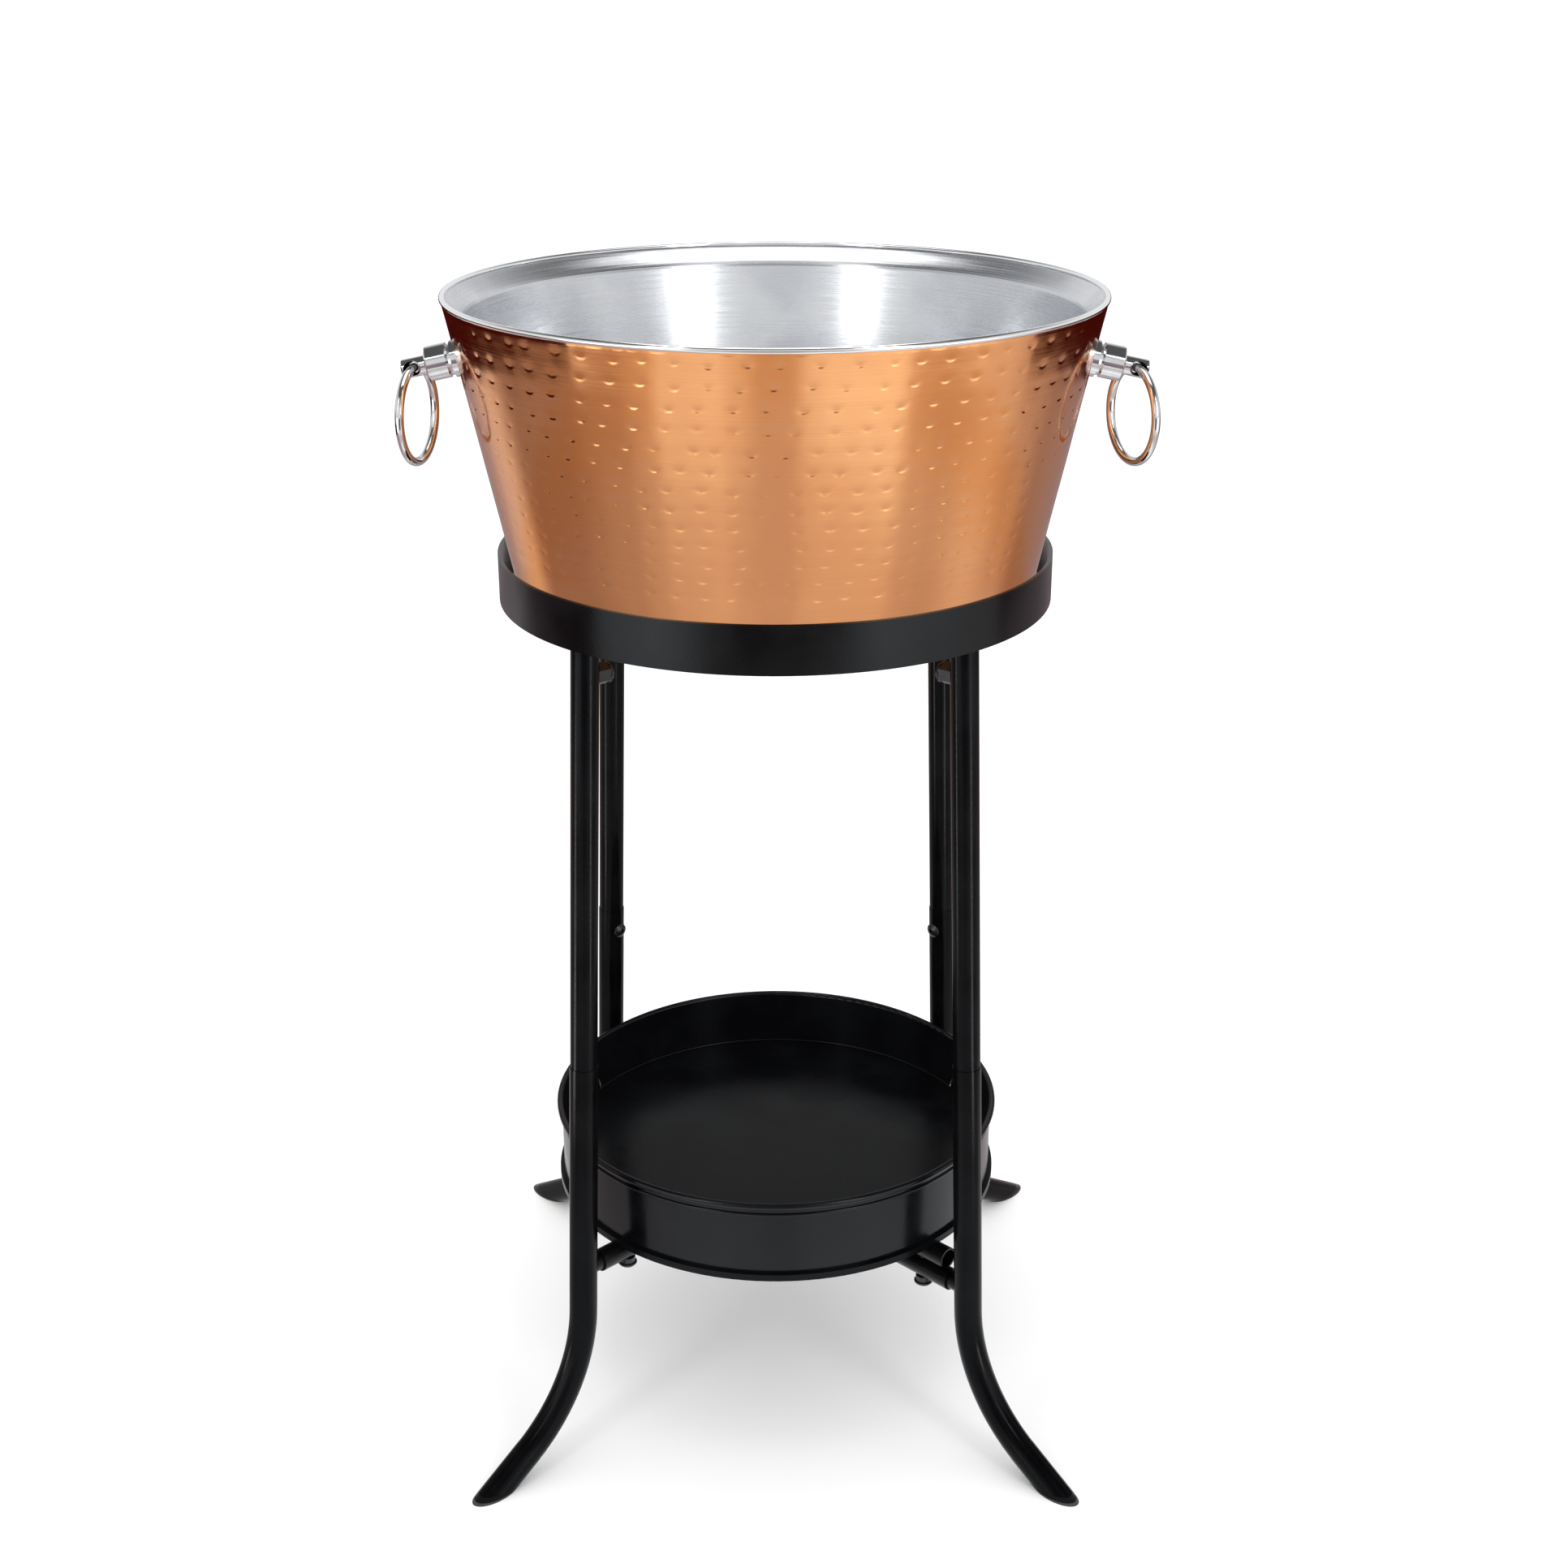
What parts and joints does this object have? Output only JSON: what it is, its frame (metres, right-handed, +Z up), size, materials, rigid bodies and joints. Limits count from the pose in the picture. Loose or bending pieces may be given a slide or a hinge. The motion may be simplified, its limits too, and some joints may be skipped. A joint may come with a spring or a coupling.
{
  "type": "champagne bucket stand",
  "caption": "Hammered copper-finish double-wall beverage tub with swinging ring handles, resting in the ring of a black tubular floor stand with a round lower tray.",
  "frame": {"origin": "on the floor under the centre of the stand", "axes": "+Z is up along the tub's axis; the front faces -Y; the handles lie on X, the right handle towards +X"},
  "size_m": [0.5087, 0.4428, 0.819],
  "materials": {
    "black_powder_coat": "satin black powder coat over steel tube and bar",
    "black_tray_enamel": "satin to semi-gloss black coat over sheet steel",
    "black_fastener": "black oxide steel fasteners",
    "plain_steel": "plain turned steel, hidden in the assembly",
    "black_plastic": "moulded black plastic",
    "hammered_copper": "hand-hammered, brushed and lacquered copper finish",
    "stainless_liner": "brushed stainless steel with a polished rolled rim",
    "handle_chrome": "polished chrome plate"
  },
  "bodies": {
    "stand": {"ring_band": "black_powder_coat", "ring_ledge": "black_powder_coat", "ring_spigots": "black_powder_coat", "front_left_upper_leg": "black_powder_coat", "front_right_upper_leg": "black_powder_coat", "rear_left_upper_leg": "black_powder_coat", "rear_right_upper_leg": "black_powder_coat", "front_left_lower_leg": "black_powder_coat", "front_right_lower_leg": "black_powder_coat", "rear_left_lower_leg": "black_powder_coat", "rear_right_lower_leg": "black_powder_coat", "leg_connectors": "plain_steel", "leg_joint_screws": "black_fastener", "leg_clamp_nuts": "black_fastener", "leg_clamp_screws": "black_fastener", "foot_plugs": "black_plastic", "upper_brace_tube": "black_powder_coat", "lower_brace_tube": "black_powder_coat", "brace_end_plugs": "black_powder_coat", "brace_packers": "black_powder_coat", "tray_wall": "black_tray_enamel", "tray_floor": "black_tray_enamel", "tray_studs": "black_fastener", "tray_dome_nuts": "black_fastener"},
    "tub": {"tub_outer_shell": "hammered_copper", "tub_liner": "stainless_liner", "left_handle_base": "handle_chrome", "right_handle_base": "handle_chrome", "left_handle_collar": "handle_chrome", "right_handle_collar": "handle_chrome", "left_handle_stem": "handle_chrome", "right_handle_stem": "handle_chrome", "left_handle_nut": "plain_steel", "right_handle_nut": "plain_steel"},
    "left_ring": {"left_handle_ring": "handle_chrome"},
    "right_ring": {"right_handle_ring": "handle_chrome"}
  },
  "joints": [
    {"name": "tub_lift", "type": "slide", "parent": "stand", "child": "tub", "axis": [0, 0, 1], "range_m": [0, 0.16]},
    {"name": "left_ring_swing", "type": "hinge", "parent": "tub", "child": "left_ring", "pos_m": [-0.24228, 0, 0.766], "axis": [0.225, 0.9744, 0], "range_deg": [-36, 180]},
    {"name": "right_ring_swing", "type": "hinge", "parent": "tub", "child": "right_ring", "pos_m": [0.24228, 0, 0.766], "axis": [0.342, -0.9397, 0], "range_deg": [-30, 180]}
  ]
}
